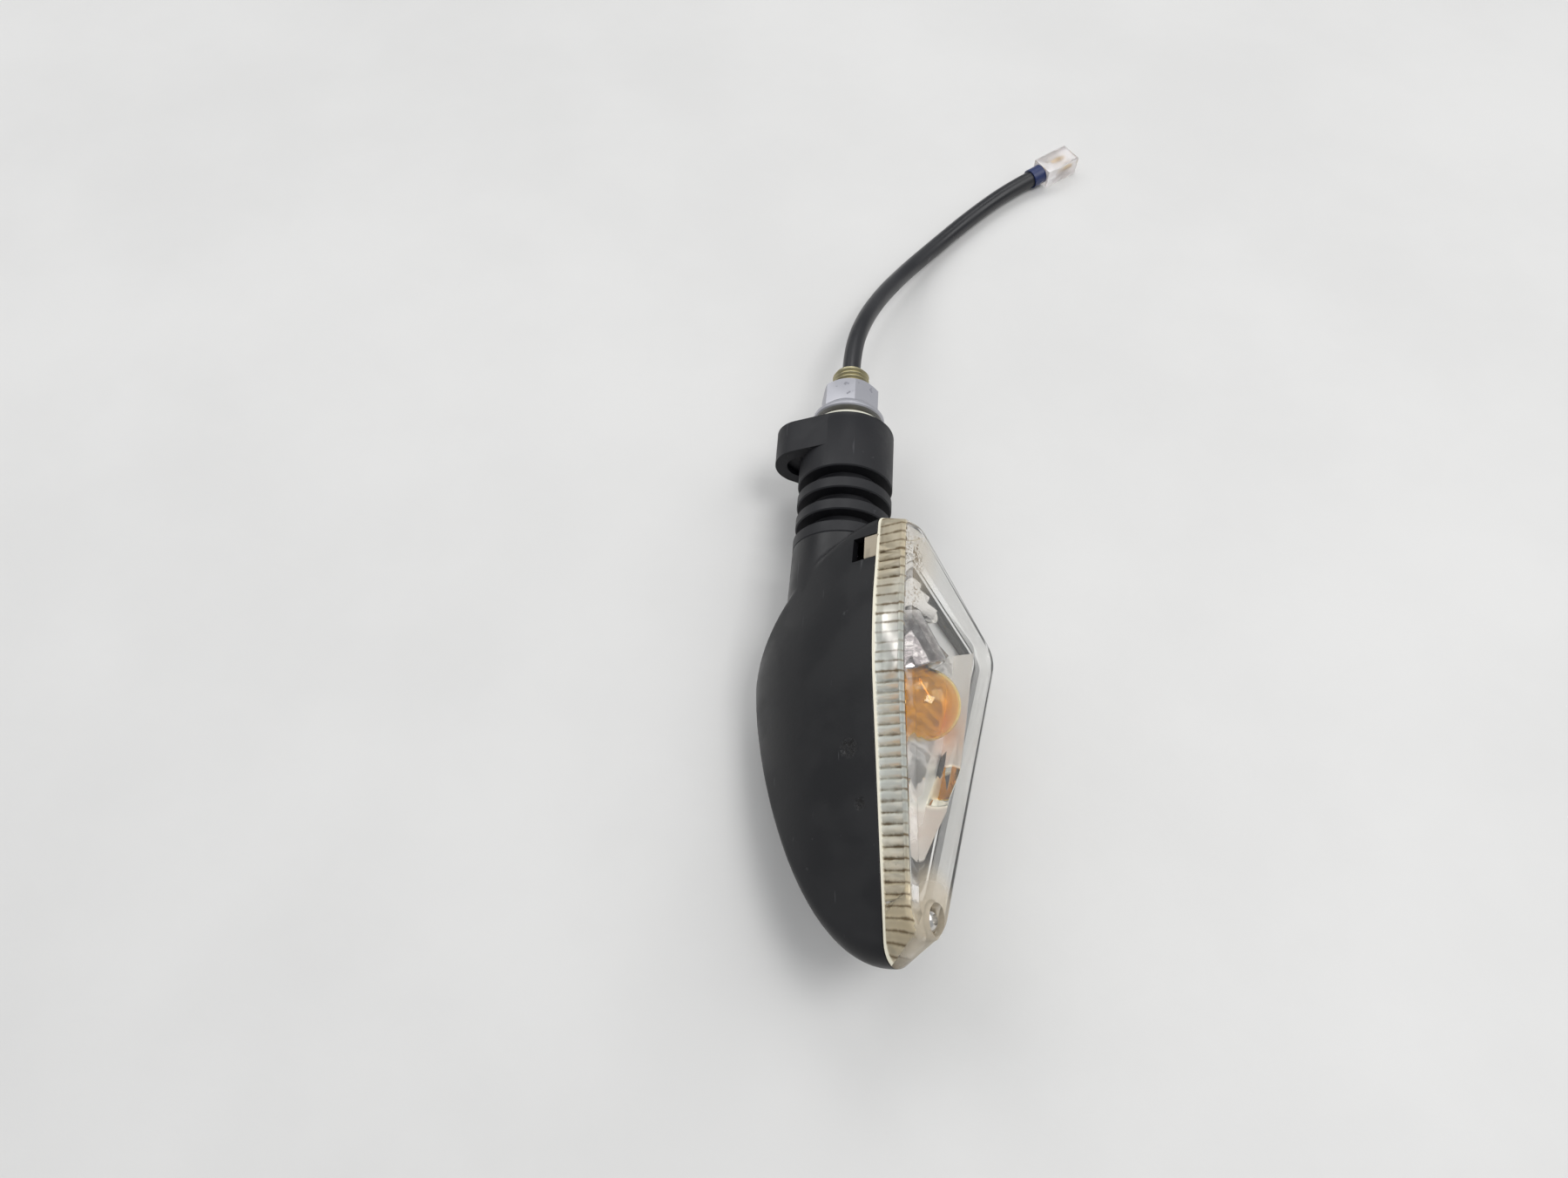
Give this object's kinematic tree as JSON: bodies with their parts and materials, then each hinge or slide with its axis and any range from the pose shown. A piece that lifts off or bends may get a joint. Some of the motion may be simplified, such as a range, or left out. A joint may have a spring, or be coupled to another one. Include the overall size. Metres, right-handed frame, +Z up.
{
  "type": "motorcycle turn signal indicator",
  "caption": "Turn signal lamp with a black bowl, clear ribbed lens and amber bulb, on a flexible ribbed rubber stem with a hollow threaded stud, flange nut and connector lead.",
  "frame": {"origin": "middle of the washer's outer face, on the stud's axis, where the motorcycle's bracket seats", "axes": "+Y along the stem and stud, away from the lamp; +Z up from the table that the lamp lies on; the lens looks towards +X and up, 36 degrees above +X"},
  "size_m": [0.09, 0.2723, 0.0475],
  "materials": {
    "zinc_plated": "yellowed zinc plate, dull",
    "nut_steel": "worn zinc plate, satin",
    "cream_washer": "pale moulded plastic, matte",
    "black_rubber": "weathered black rubber, matte",
    "bush_steel": "plain plated steel",
    "black_plastic": "matte black moulded plastic, lightly worn",
    "insert_brass": "plain brass",
    "gasket_foam": "soft black foam rubber",
    "clear_plastic": "clear moulded plastic, ribbed side wall, dusty",
    "screw_steel": "bright plated steel",
    "silvered": "plastic with a silvered face",
    "amber_glass": "amber coated glass",
    "bulb_cap": "nickelled brass",
    "contact_metal": "plain brass",
    "filament_metal": "fine wire on a glass mount",
    "socket_metal": "pressed plated steel",
    "insulator": "brown laminate",
    "spring_steel": "spring wire",
    "lead_covering": "coloured wire covering",
    "cable_black": "satin black cable covering",
    "dark_blue": "dark blue shrunk sleeve",
    "milky_plastic": "milky translucent plastic"
  },
  "bodies": {
    "root": {"mounting_stud": "zinc_plated", "seat_washer": "cream_washer", "cable_free_run": "cable_black", "cable_end_sleeve": "dark_blue", "connector_housing": "milky_plastic", "connector_terminals": "contact_metal"},
    "nut": {"flange_nut": "nut_steel"},
    "stem": {"rubber_stem": "black_rubber", "cable_inner_run": "cable_black"},
    "head": {"stem_bush": "bush_steel", "stem_bush_nut": "bush_steel", "housing": "black_plastic", "lens_screw_insert": "insert_brass", "lens_gasket": "gasket_foam", "reflector": "silvered", "reflector_screws": "screw_steel", "bulb_socket": "socket_metal", "socket_insulator": "insulator", "contact_spring": "spring_steel", "ground_terminal": "socket_metal", "lead_wires": "lead_covering"},
    "lens": {"lens": "clear_plastic"},
    "screw": {"lens_screw": "screw_steel"},
    "plunger": {"contact_plunger": "contact_metal"},
    "bulb": {"bulb_glass": "amber_glass", "bulb_base": "bulb_cap", "bulb_contact": "contact_metal", "bulb_filament": "filament_metal"}
  },
  "joints": [
    {"name": "stem_flex_fore_aft", "type": "hinge", "parent": "root", "child": "stem", "pos_m": [0, -0.02085, 0], "axis": [-0.5878, 0, 0.809], "range_deg": [-25, 25], "stiffness_Nm_per_rad": 3, "deforming": ["rubber_stem", "cable_inner_run"]},
    {"name": "stem_flex_up_down", "type": "hinge", "parent": "stem", "child": "head", "pos_m": [0, -0.03385, 0], "axis": [0.809, 0, 0.5878], "range_deg": [-25, 25], "stiffness_Nm_per_rad": 3, "deforming": ["rubber_stem", "cable_inner_run"]},
    {"name": "flange_nut_travel", "type": "slide", "parent": "root", "child": "nut", "axis": [0, 1, 0], "range_m": [-0.00205, 0.0067]},
    {"name": "lens_release", "type": "slide", "parent": "head", "child": "lens", "axis": [0.809, 0, 0.5878], "range_m": [0, 0.025]},
    {"name": "lens_screw_travel", "type": "slide", "parent": "lens", "child": "screw", "axis": [0.809, 0, 0.5878], "range_m": [0, 0.014]},
    {"name": "plunger_travel", "type": "slide", "parent": "head", "child": "plunger", "axis": [-0.4675, 0.8585, 0.2106], "range_m": [0, 0.002], "stiffness_N_per_m": 1500, "springref_m": -0.002, "deforming": ["contact_spring"]},
    {"name": "bulb_turn", "type": "hinge", "parent": "plunger", "child": "bulb", "pos_m": [0.00651, -0.05313, 0.00558], "axis": [0.4675, -0.8585, -0.2106], "range_deg": [-20, 0]}
  ]
}
